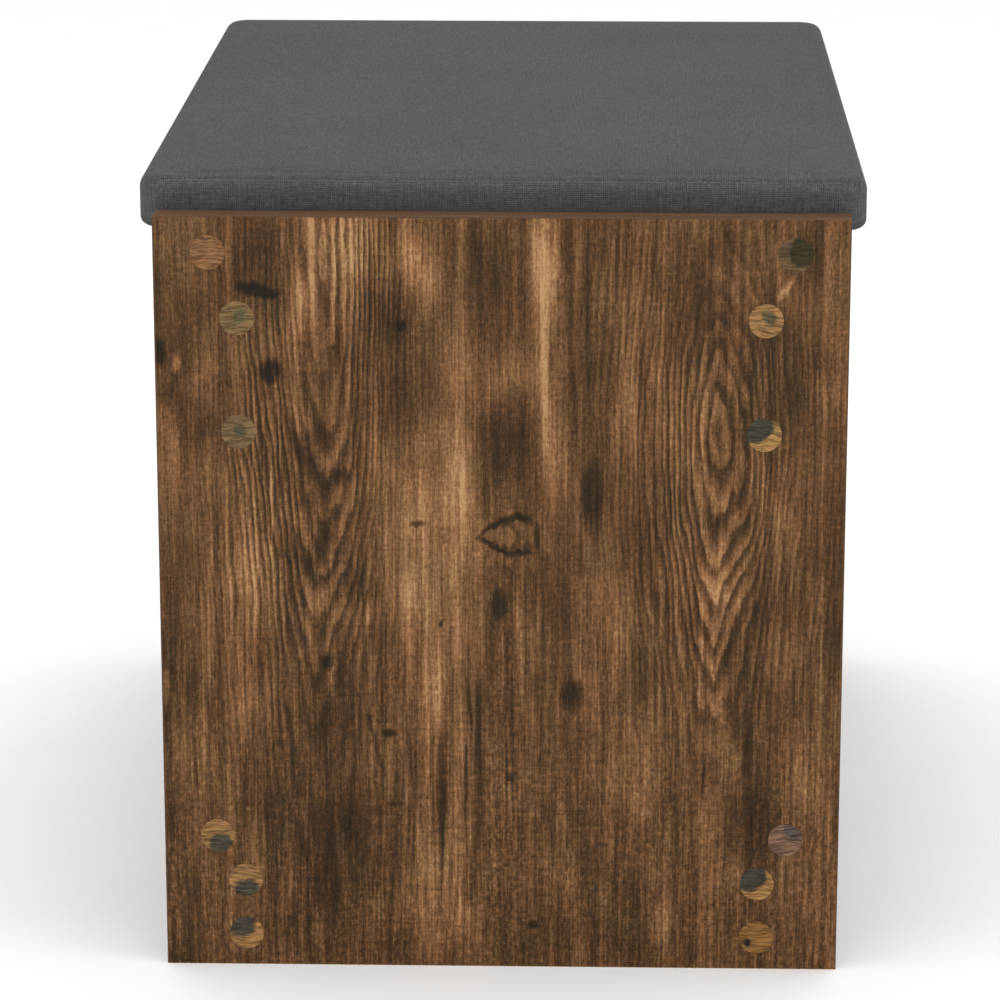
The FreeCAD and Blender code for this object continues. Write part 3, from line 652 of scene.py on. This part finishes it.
# ---- seat --------------------------------------------------------------------------------
CLOTH_STEP = 4.5 * MM       # size of the cloth's faces
CORNER = 16 * MM            # the seat's corners, seen from above
SHOULDER = 8 * MM
UNDER_EDGE = 5 * MM
SLACK = 0.8 * MM            # the cover starts this much smaller
STAPLED_BAND = 1.5 * MM     # height of the strip that is held to the board's underside
PRESSURE = 4.0              # of the padding, as the cloth solver counts it
CLOTH_FRAMES = 20
PUFF = 3.0 * MM             # the most that the padding lifts the cover
SUNK = 0.35 * MM            # and the most that it lies inside the seat's outer form
PUSHES = 3                  # rounds of pushing it out that far
FOLDS = [                   # folds round a corner: place and width in degrees, height in millimetres
    (34, 7, -1.5),
    (48, 9, 0.9),
    (64, 7, -1.1),
]
FOLD_LEAN = 8               # degrees that a fold moves round from the seat's top to its foot
FOLDS_START = 0.22          # how far down the seat they begin, as a share of its height
FOLDS_FULL = 0.72           # and where they are full
TOP_DENTS = 0.35 * MM
TOP_DENTS_PER_METRE = 14
SIDE_DENTS = 0.5 * MM
SIDE_DENTS_PER_METRE = 38
STITCH_PITCH = 3.4 * MM
STITCH_LENGTH = 2.1 * MM
STITCH_THREAD = 0.34 * MM   # half the sewing thread's width
STITCH_SIDES = 6
STITCH_RINGS = [            # one stitch's rings: place along it, depth and width, as shares
    (-0.5, 0.4, 0.35),
    (-0.3, 0.0, 1.0),
    (0.3, 0.0, 1.0),
    (0.5, 0.4, 0.35),
]
SEAM_DROP = 0.3 * SHOULDER  # how far the top seam lies below the seat's top, and inside its end
SEAM_SEARCH = 30 * MM       # how far outside the cover the search for its surface starts
STITCH_LIFT = 0.1 * MM      # how far a stitch stands off the cloth


def edges_at(work, test):
    return [edge for edge in work.edges if all(test(vert.co) for vert in edge.verts)]


def round_off(work, edges, radius, segments):
    bmesh.ops.bevel(work, geom=edges, offset=radius, segments=segments, affect="EDGES", profile=0.5)


def seat_blank(work):
    """A rounded slab, a little smaller than the cover, that the padding will fill out."""
    low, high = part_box("seat_cover")
    low = low + Vector((SLACK, SLACK, 0))
    high = high - Vector((SLACK, SLACK, SLACK))
    bmesh.ops.create_cube(work, size=1.0)
    for vert in work.verts:
        vert.co = Vector([low[i] if vert.co[i] < 0 else high[i] for i in range(3)])
    upright = [edge for edge in work.edges if abs(edge.verts[0].co.z - edge.verts[1].co.z) > MM]
    round_off(work, upright, CORNER, 6)
    round_off(work, edges_at(work, lambda co: co.z > high.z - 0.1 * MM), SHOULDER, 5)
    round_off(work, edges_at(work, lambda co: co.z < low.z + 0.1 * MM), UNDER_EDGE, 3)


def apply_modifiers(piece):
    """Replaces the piece's mesh with what its modifiers make of it."""
    evaluated = piece.evaluated_get(bpy.context.evaluated_depsgraph_get())
    mesh = bpy.data.meshes.new_from_object(evaluated)
    piece.modifiers.clear()
    piece.data = mesh


def points_of(mesh):
    points = np.empty(len(mesh.vertices) * 3)
    mesh.vertices.foreach_get("co", points)
    return points.reshape(-1, 3)


def set_points(mesh, points):
    mesh.vertices.foreach_set("co", points.ravel())
    mesh.update()


def shade_smooth(piece):
    piece.data.polygons.foreach_set("use_smooth", [True] * len(piece.data.polygons))


def puff_up(piece, low):
    """Cloth under a little pressure, held along the underside where it is stapled to the board.

    The padding stops it from going inward, and lets it out by no more than PUFF.
    """
    rest = points_of(piece.data)
    held = piece.vertex_groups.new(name="stapled")
    underside = np.nonzero(rest[:, 2] < low.z + STAPLED_BAND)[0]
    held.add([int(i) for i in underside], 1.0, "REPLACE")
    cloth = piece.modifiers.new("cloth", "CLOTH")
    cloth.settings.quality = 5
    cloth.settings.vertex_group_mass = "stapled"
    cloth.settings.use_pressure = True
    cloth.settings.uniform_pressure_force = PRESSURE
    cloth.settings.effector_weights.gravity = 0.0
    scene = bpy.context.scene
    for step in range(CLOTH_FRAMES):
        scene.frame_set(step + 1)
    evaluated = piece.evaluated_get(bpy.context.evaluated_depsgraph_get())
    moved = points_of(evaluated.to_mesh()) - rest
    evaluated.to_mesh_clear()
    outward = np.empty(rest.size)
    piece.data.vertex_normals.foreach_get("vector", outward)
    outward = outward.reshape(-1, 3)
    piece.modifiers.clear()
    piece.vertex_groups.clear()
    scene.frame_set(1)
    lift = np.sum(moved * outward, axis=1, keepdims=True).clip(0, None)
    set_points(piece.data, rest + outward * lift * PUFF / (PUFF + lift))


def past_round_corner(reach, radius):
    """How far points lie past a rounded corner, from how far each lies past its two faces."""
    reach = reach + radius
    return np.hypot(*reach.clip(0, None).T) + reach.max(axis=1).clip(None, 0) - radius


def depth_outside(points, low, high):
    """How far each point lies outside the seat's rounded outer form, negative inside it."""
    middle, half = (low + high) / 2, (high - low) / 2
    side = past_round_corner(np.abs(points[:, :2] - np.array(middle[:2])) - np.array(half[:2]), CORNER)
    over = np.stack((side, points[:, 2] - high.z), axis=1)
    under = np.stack((side, low.z - points[:, 2]), axis=1)
    return np.maximum(past_round_corner(over, SHOULDER), past_round_corner(under, UNDER_EDGE))


def push_out(piece, low, high):
    """Brings the cover's points out to just inside the seat's outer form, clear of board and foam."""
    points = points_of(piece.data)
    step = 0.1 * MM
    for _ in range(PUSHES):
        missing = (-SUNK - depth_outside(points, low, high)).clip(0, None)
        slope = np.empty_like(points)
        for axis in range(3):
            moved = points.copy()
            moved[:, axis] += step
            ahead = depth_outside(moved, low, high)
            moved[:, axis] -= 2 * step
            slope[:, axis] = ahead - depth_outside(moved, low, high)
        slope /= np.linalg.norm(slope, axis=1, keepdims=True).clip(step / 100, None)
        points += slope * missing[:, None]
    set_points(piece.data, points)


def corner_folds(piece, low, high):
    """Folds the cover where its spare cloth is tucked in at the corners, and dents it a little."""
    points = points_of(piece.data)
    middle = (low + high) / 2
    for index, (x, y, z) in enumerate(points):
        out_x = abs(x - middle.x) - ((high.x - low.x) / 2 - CORNER)
        out_y = abs(y - middle.y) - ((high.y - low.y) / 2 - CORNER)
        down = (high.z - z) / (high.z - low.z)
        if out_x > 0 and out_y > 0:
            angle = math.degrees(math.atan2(out_y, out_x)) - FOLD_LEAN * (down - 0.5)
            strength = (down - FOLDS_START) / (FOLDS_FULL - FOLDS_START)
            fold = 0.0
            for place, width, height in FOLDS:
                fold += height * math.exp(-(((angle - place) / width) ** 2))
            fold *= min(1.0, max(0.0, strength)) * MM
            reach = math.hypot(out_x, out_y)
            points[index, 0] += math.copysign(fold * out_x / reach, x - middle.x)
            points[index, 1] += math.copysign(fold * out_y / reach, y - middle.y)
        where = Vector((x, y, z))
        if down < 0.3:
            points[index, 2] += TOP_DENTS * noise.noise(where * TOP_DENTS_PER_METRE)
        elif down < 0.95:
            dent = SIDE_DENTS * noise.noise(where * SIDE_DENTS_PER_METRE) * math.sin(math.pi * down)
            points[index, 0 if abs(out_x) < abs(out_y) else 1] += dent
    set_points(piece.data, points)


def build_seat_cover():
    low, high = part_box("seat_cover")
    weave = woven_cover("woven_grey_cover")
    piece = new_piece("seat_cover_fabric", seat_blank, weave, "seat")
    remesh = piece.modifiers.new("even_faces", "REMESH")
    remesh.mode = "VOXEL"
    remesh.voxel_size = CLOTH_STEP
    apply_modifiers(piece)
    puff_up(piece, low)
    corner_folds(piece, low, high)
    piece.modifiers.new("smooth", "SUBSURF").levels = 1
    piece.modifiers["smooth"].render_levels = 1
    apply_modifiers(piece)
    push_out(piece, low, high)
    shade_smooth(piece)
    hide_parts("seat_cover")
    return piece


def add_stitch(work, place, along, outward):
    """One stitch of sewing thread: a short rounded bar, half sunk into the cloth at both ends."""
    aside = along.cross(outward)
    rings = []
    for share, sink, width in STITCH_RINGS:
        centre = place + along * share * STITCH_LENGTH - outward * sink * STITCH_THREAD
        ring = []
        for step in range(STITCH_SIDES):
            turn = 2 * math.pi * step / STITCH_SIDES
            spoke = aside * math.cos(turn) + outward * math.sin(turn)
            ring.append(work.verts.new(centre + spoke * width * STITCH_THREAD))
        rings.append(ring)
    for before, after in zip(rings, rings[1:]):
        for step in range(STITCH_SIDES):
            other = (step + 1) % STITCH_SIDES
            work.faces.new((before[step], before[other], after[other], after[step]))
    work.faces.new(rings[0][::-1])
    work.faces.new(rings[-1])


def build_stitches(cover):
    """The seams of the cover's end pieces: along the top edge and down the corners of both ends."""
    low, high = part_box("seat_cover")
    cloth = BVHTree.FromObject(cover, bpy.context.evaluated_depsgraph_get())
    half_depth = high.y - CORNER

    def sew(work, start, end, inward):
        """Stitches on the cloth where it is met going inward from a line."""
        run = end - start
        for number in range(int(run.length / STITCH_PITCH)):
            wanted = start + run.normalized() * (number + 0.5) * STITCH_PITCH
            hit, outward, _, _ = cloth.ray_cast(wanted - inward * SEAM_SEARCH, inward)
            along = (run - outward * run.dot(outward)).normalized()
            add_stitch(work, hit + outward * STITCH_LIFT, along, outward)

    def seams(work):
        for side in (-1, 1):
            x = side * high.x
            down = Vector((-side, 0, -1)).normalized()
            top = Vector((x - side * SEAM_DROP, -half_depth, high.z - SEAM_DROP))
            sew(work, top, top + Vector((0, 2 * half_depth, 0)), down)
            for end in (-1, 1):
                corner = Vector((x, end * half_depth, high.z - SHOULDER))
                foot = Vector((x, end * half_depth, low.z + UNDER_EDGE))
                sew(work, corner, foot, Vector((-side, 0, 0)))

    new_piece("seat_cover_stitches", seams, sewing_thread("grey_sewing_thread"), "seat")


DUST_CLOTH = 0.25 * MM      # the dust cover's thickness
DUST_GAP = 0.05 * MM        # and its distance from what it is stapled to
PUCKER = 0.7 * MM           # how far its edge is drawn in by each pucker
PUCKER_PITCH = 35 * MM
PUCKER_REACH = 12 * MM      # how quickly the puckers die away from the edge inward
EDGE_SAG = 0.28 * MM
MIDDLE_SAG = 1.2 * MM
SAG_REACH = 90 * MM         # the sag is full this far in from the edge
CREASES_PER_METRE = 90


def pucker(place):
    """How much the sheet's edge is drawn in at a place along it, 0 to 1."""
    return 0.5 + 0.5 * math.sin(place / PUCKER_PITCH * 2 * math.pi)


def build_dust_cover():
    """A thin black sheet stapled under the seat, puckered at its edge and sagging a little."""
    low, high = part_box("dust_cover")
    width, length = high.x - low.x, high.y - low.y
    half = Vector((width / 2, length / 2, 0))
    middle = (low + high) / 2

    def taut_sheet(work):
        bmesh.ops.create_grid(work, x_segments=120, y_segments=80, size=0.5)
        for vert in work.verts:
            x, y = vert.co.x * width, vert.co.y * length
            edge = min(half.x - abs(x), half.y - abs(y))
            near_edge = math.exp(-edge / PUCKER_REACH)
            x -= math.copysign(PUCKER, x) * near_edge * pucker(y)
            y -= math.copysign(PUCKER, y) * near_edge * pucker(x)
            crease = 0.5 + 0.5 * noise.noise(Vector((x, y, 0)) * CREASES_PER_METRE)
            sag = EDGE_SAG * near_edge + MIDDLE_SAG * min(1.0, edge / SAG_REACH) ** 2
            vert.co = Vector((middle.x + x, middle.y + y, high.z - DUST_GAP - sag * crease))

    black = spun_cloth("black_dust_cloth")
    sheet = new_piece("dust_cover_cloth", taut_sheet, black, "seat")
    body = sheet.modifiers.new("thickness", "SOLIDIFY")
    body.thickness = DUST_CLOTH
    body.offset = -1.0
    apply_modifiers(sheet)
    shade_smooth(sheet)
    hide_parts("dust_cover")


# ---- stickers ----------------------------------------------------------------------------
# One row per sticker, rear edge first and each edge from the top down: paper colour, ink colour,
# then the stain's centre and radius in millimetres.
GOLD = shade(144, 108, 66)
TAN = shade(122, 97, 62)
SLATE = shade(70, 64, 50)
STICKER_LOOKS = [
    (shade(134, 94, 60), shade(92, 66, 40), (-3, 8), 0.0),
    (TAN, shade(88, 80, 52), (1.5, 0.5), 4.0),
    (shade(114, 91, 60), shade(80, 73, 50), (1.5, 0.5), 4.0),
    (GOLD, SLATE, (2, -6.5), 7.5),
    (GOLD, SLATE, (1, -6.5), 7.0),
    (shade(152, 112, 66), SLATE, (-3, 6), 8.5),
    (shade(98, 76, 50), shade(52, 46, 22), (4, 2.5), 8.0),
    (GOLD, shade(92, 80, 50), (2, 1), 4.0),
    (shade(158, 120, 70), shade(62, 58, 44), (-4.5, 5), 9.0),
    (shade(118, 90, 70), shade(84, 72, 66), (4, 6), 6.0),
    (shade(152, 112, 66), shade(60, 56, 42), (-4, 5.5), 9.0),
    (shade(134, 96, 50), shade(40, 32, 22), (-5, -3), 2.4),
]


STICKER_SIDES = 48
STICKER_ROWS = [            # from the panel to the middle of the face: radius and height as shares
    (1.0, 0.0),
    (1.0, 0.55),
    (0.985, 0.85),
    (0.95, 1.0),
    (0.6, 1.0),
    (0.3, 1.0),
]


def sticker_discs(node):
    """(lowest corner, highest corner) of each sticker of a CAD node, in STICKER_LOOKS' order."""
    work = bmesh.new()
    work.from_mesh(node.data)
    bmesh.ops.remove_doubles(work, verts=work.verts, dist=0.001 * MM)
    waiting = set(work.verts)
    discs = []
    while waiting:
        island = [waiting.pop()]
        for vert in island:
            for edge in vert.link_edges:
                other = edge.other_vert(vert)
                if other in waiting:
                    waiting.remove(other)
                    island.append(other)
        low = Vector([min(vert.co[i] for vert in island) for i in range(3)])
        high = Vector([max(vert.co[i] for vert in island) for i in range(3)])
        discs.append((low, high))
    work.free()
    discs.sort(key=lambda disc: (disc[0].y < 0, -disc[0].z))
    return discs


def build_stickers(end, material):
    """Paper-thin discs with a softly pressed rim, over the screw heads of one end."""
    node = nodes[end + "_screw_stickers"]
    outward = -1 if end == "left" else 1
    facts = []

    def discs(work):
        for number, (low, high) in enumerate(sticker_discs(node)):
            centre = (low + high) / 2
            radius = (high.y - low.y) / 2
            thickness = high.x - low.x
            base = centre.x - outward * thickness / 2
            rings = []
            for share, height in STICKER_ROWS:
                x = base + outward * thickness * height
                ring = []
                for step in range(STICKER_SIDES):
                    turn = 2 * math.pi * step / STICKER_SIDES
                    y, z = radius * share * math.cos(turn), radius * share * math.sin(turn)
                    ring.append(work.verts.new((x, centre.y + y, centre.z + z)))
                    facts.append((-y / MM, z / MM, number))
                rings.append(ring)
            for inner, outer in zip(rings[1:], rings):
                for step in range(STICKER_SIDES):
                    after = (step + 1) % STICKER_SIDES
                    corners = [outer[step], outer[after], inner[after], inner[step]]
                    work.faces.new(corners if outward > 0 else corners[::-1])
            work.faces.new(rings[-1] if outward > 0 else rings[-1][::-1])
            work.faces.new(rings[0][::-1] if outward > 0 else rings[0])

    piece = new_piece(end + "_stickers", discs, material, "carcass")
    mesh = piece.data
    columns = {key: mesh.attributes.new(key, "FLOAT_VECTOR", "POINT") for key in
               ("sticker_point", "sticker_stain_place", "sticker_paper", "sticker_ink")}
    for index, (u, v, number) in enumerate(facts):
        paper, ink, stain, stain_radius = STICKER_LOOKS[number]
        columns["sticker_point"].data[index].vector = (u, v, 10.0 * number)
        columns["sticker_stain_place"].data[index].vector = (*stain, stain_radius)
        columns["sticker_paper"].data[index].vector = paper[:3]
        columns["sticker_ink"].data[index].vector = ink[:3]
    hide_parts(end + "_screw_stickers")


# ---- stage -------------------------------------------------------------------------------
FLOOR_REACH = 20.0
LAMPS = [                   # name, place, size across in metres, power in watts
    ("top", (0.0, 0.0, 3.2), 3.0, 46),
    ("front", (-1.2, -2.6, 1.4), 1.6, 6),
    ("low", (-3.0, 0.2, 0.5), 1.6, 9),
]
LAMP_TARGET = Vector((0, 0, 0.25))
LENS = 151.9                # focal length in millimetres
CAMERA_AWAY = 2.245         # the camera's distance from the bench's left-hand end
CAMERA_SIDE = -0.059        # how far it stands to the front of the bench's middle
CAMERA_HEIGHT = 0.889
AIM = (0.0006, 0.275)       # the point on that end it looks at: across, and up from the floor


def build_floor():
    mesh = bpy.data.meshes.new("floor")
    work = bmesh.new()
    bmesh.ops.create_grid(work, x_segments=1, y_segments=1, size=FLOOR_REACH)
    work.to_mesh(mesh)
    work.free()
    floor = bpy.data.objects.new("floor", mesh)
    bpy.context.scene.collection.objects.link(floor)
    g = Graph("floor_paint")
    mottle = g.noise(g.vector("SCALE", g.place, scale=0.01), 3.0)
    colour = g.ramp(mottle, [(0.3, grey(0.88)), (0.7, grey(0.90))])
    mesh.materials.append(g.finish(Base_Color=colour, Roughness=0.9, Specular_IOR_Level=0.0))


def build_lights():
    world = bpy.data.worlds.new("studio")
    bpy.context.scene.world = world
    world.use_nodes = True
    background = world.node_tree.nodes["Background"]
    background.inputs["Color"].default_value = (1, 1, 1, 1)
    background.inputs["Strength"].default_value = 1.0
    for name, place, size, power in LAMPS:
        light = bpy.data.lights.new(name, "AREA")
        light.size = size
        light.energy = power
        lamp = bpy.data.objects.new(name, light)
        lamp.location = place
        aim = LAMP_TARGET - Vector(place)
        lamp.rotation_euler = aim.to_track_quat("-Z", "Y").to_euler()
        bpy.context.scene.collection.objects.link(lamp)


def build_camera():
    """Looks along the bench from its left-hand end, from above and a little to the front."""
    place = Vector((PANEL_FACE - CAMERA_AWAY, CAMERA_SIDE, CAMERA_HEIGHT))
    target = Vector((PANEL_FACE, *AIM))
    data = bpy.data.cameras.new("camera")
    data.lens = LENS
    camera = bpy.data.objects.new("camera", data)
    camera.location = place
    camera.rotation_euler = (target - place).to_track_quat("-Z", "Y").to_euler()
    bpy.context.scene.collection.objects.link(camera)
    bpy.context.scene.camera = camera


bpy.context.scene.view_settings.view_transform = "Standard"
build_camera()
build_lights()
build_floor()
paint_boards()
paint_fittings()
seat_cover = build_seat_cover()
build_stitches(seat_cover)
build_dust_cover()
sticker_material = sticker_print("sticker_print")
for end in ENDS:
    build_stickers(end, sticker_material)
